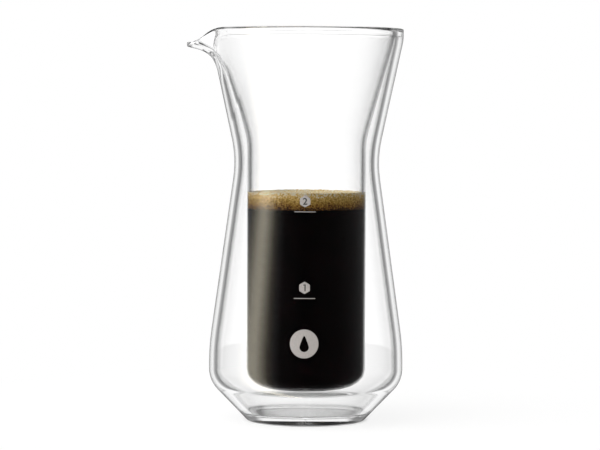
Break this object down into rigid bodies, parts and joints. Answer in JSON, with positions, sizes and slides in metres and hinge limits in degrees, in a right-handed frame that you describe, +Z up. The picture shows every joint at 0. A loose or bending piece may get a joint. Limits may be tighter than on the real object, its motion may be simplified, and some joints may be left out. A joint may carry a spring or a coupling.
{
  "type": "double-walled glass coffee carafe",
  "caption": "Hourglass carafe of clear double-walled glass with a pulled spout and printed cup marks, holding black coffee under crema; pours filter coffee and keeps it warm.",
  "frame": {"origin": "bottom centre of the bounding box; the carafe's axis stands 6.35 mm from it towards +X, because the spout reaches out on the other side", "axes": "+Z up along the carafe's axis, the spout points along -X and the printed cup marks face -Y"},
  "size_m": [0.1194, 0.1067, 0.215],
  "materials": {
    "glass": "polished",
    "coffee": "gloss",
    "crema": "matte",
    "enamel": "satin"
  },
  "bodies": {
    "root": {"outer_wall": "glass", "inner_wall": "glass", "coffee": "coffee", "crema": "crema", "cup_line_1": "enamel", "cup_line_2": "enamel", "cup_badge_1": "enamel", "cup_badge_2": "enamel", "plain_emblem": "enamel"}
  },
  "joints": []
}
